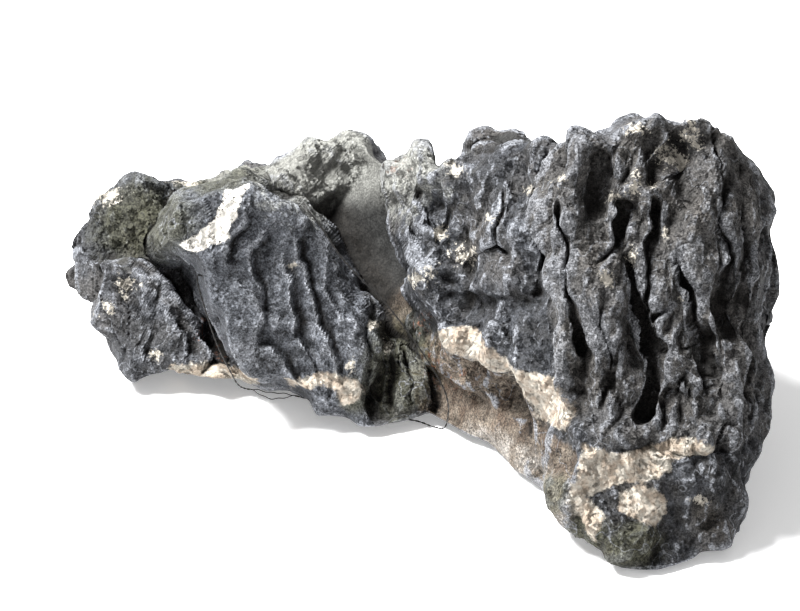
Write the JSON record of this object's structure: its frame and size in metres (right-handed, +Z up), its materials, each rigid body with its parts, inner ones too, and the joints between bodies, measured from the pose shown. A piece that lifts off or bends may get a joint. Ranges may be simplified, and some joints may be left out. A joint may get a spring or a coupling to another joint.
{
  "type": "scholar's rock",
  "caption": "Long limestone crag with a fluted mass, a gully and a slabbed lobe that a thin wire is tied round. It rests on flat runners.",
  "frame": {"origin": "centre of the bounding box at ground level, where the stone rests", "axes": "+X along the stone towards the fluted mass, +Z up, broad face towards -Y"},
  "size_m": [0.3638, 0.2894, 0.1811],
  "materials": {
    "limestone": "rough, dark blue-grey limestone with pale calcite veins and crust",
    "wire": "black annealed tie wire"
  },
  "bodies": {
    "root": {"rock": "limestone", "tie_wire": "wire"}
  },
  "joints": []
}
